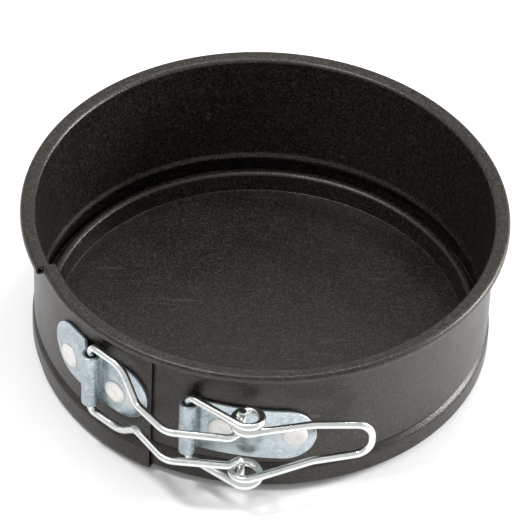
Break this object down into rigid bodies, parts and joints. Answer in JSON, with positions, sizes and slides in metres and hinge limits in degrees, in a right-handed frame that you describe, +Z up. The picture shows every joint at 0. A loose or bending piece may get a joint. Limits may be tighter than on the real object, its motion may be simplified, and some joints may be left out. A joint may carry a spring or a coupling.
{
  "type": "springform pan",
  "caption": "Small round springform cake pan with a lift-out base disc, a split band with a rolled rim and an over-centre wire latch.",
  "frame": {"origin": "centre of the base disc's underside, on the surface the pan stands on", "axes": "+Z up along the pan's axis, -Y towards the front (the latch side), +X to the lever plate's side"},
  "size_m": [0.1218, 0.1294, 0.0413],
  "materials": {
    "coating": "dark warm-grey non-stick coating with a fine metallic fleck",
    "zinc_plate": "zinc-plated sheet steel, satin, slightly bluish",
    "zinc_wire": "bright zinc-plated drawn wire",
    "rivet": "matte aluminium rivet"
  },
  "bodies": {
    "band_back": {"band_back": "coating"},
    "base": {"base_disc": "coating"},
    "band_left": {"band_left": "coating", "catch_plate": "zinc_plate", "catch_rivet_rear": "rivet", "catch_rivet_front": "rivet"},
    "band_right": {"band_right": "coating", "lever_plate": "zinc_plate", "lever_rivet_left": "rivet", "lever_rivet_right": "rivet"},
    "lever": {"lever_wire": "zinc_wire"},
    "bail": {"bail_wire": "zinc_wire"}
  },
  "joints": [
    {"name": "base_lift", "type": "slide", "parent": "band_back", "child": "base", "axis": [0, 0, 1], "range_m": [0, 0.055]},
    {"name": "band_left_open", "type": "hinge", "parent": "band_back", "child": "band_left", "pos_m": [-0.06064, 0.00745, 0.0213], "axis": [0, 0, -1], "range_deg": [0, 8.68]},
    {"name": "band_right_open", "type": "hinge", "parent": "band_back", "child": "band_right", "pos_m": [0.06064, 0.00745, 0.0213], "axis": [0, 0, 1], "range_deg": [0, 8.68]},
    {"name": "lever_swing", "type": "hinge", "parent": "band_right", "child": "lever", "pos_m": [-0.01639, -0.05793, 0.0213], "axis": [0, 0, -1], "range_deg": [0, 130]},
    {"name": "bail_swing", "type": "hinge", "parent": "band_left", "child": "bail", "pos_m": [-0.04066, -0.04547, 0.024], "axis": [0, 0, -1], "range_deg": [0, 10.23]}
  ],
  "couplings": [
    {"joint": "band_left_open", "follows": "lever_swing", "ratio": 0.066785},
    {"joint": "band_right_open", "follows": "lever_swing", "ratio": 0.066785},
    {"joint": "bail_swing", "follows": "lever_swing", "ratio": 0.078717}
  ]
}
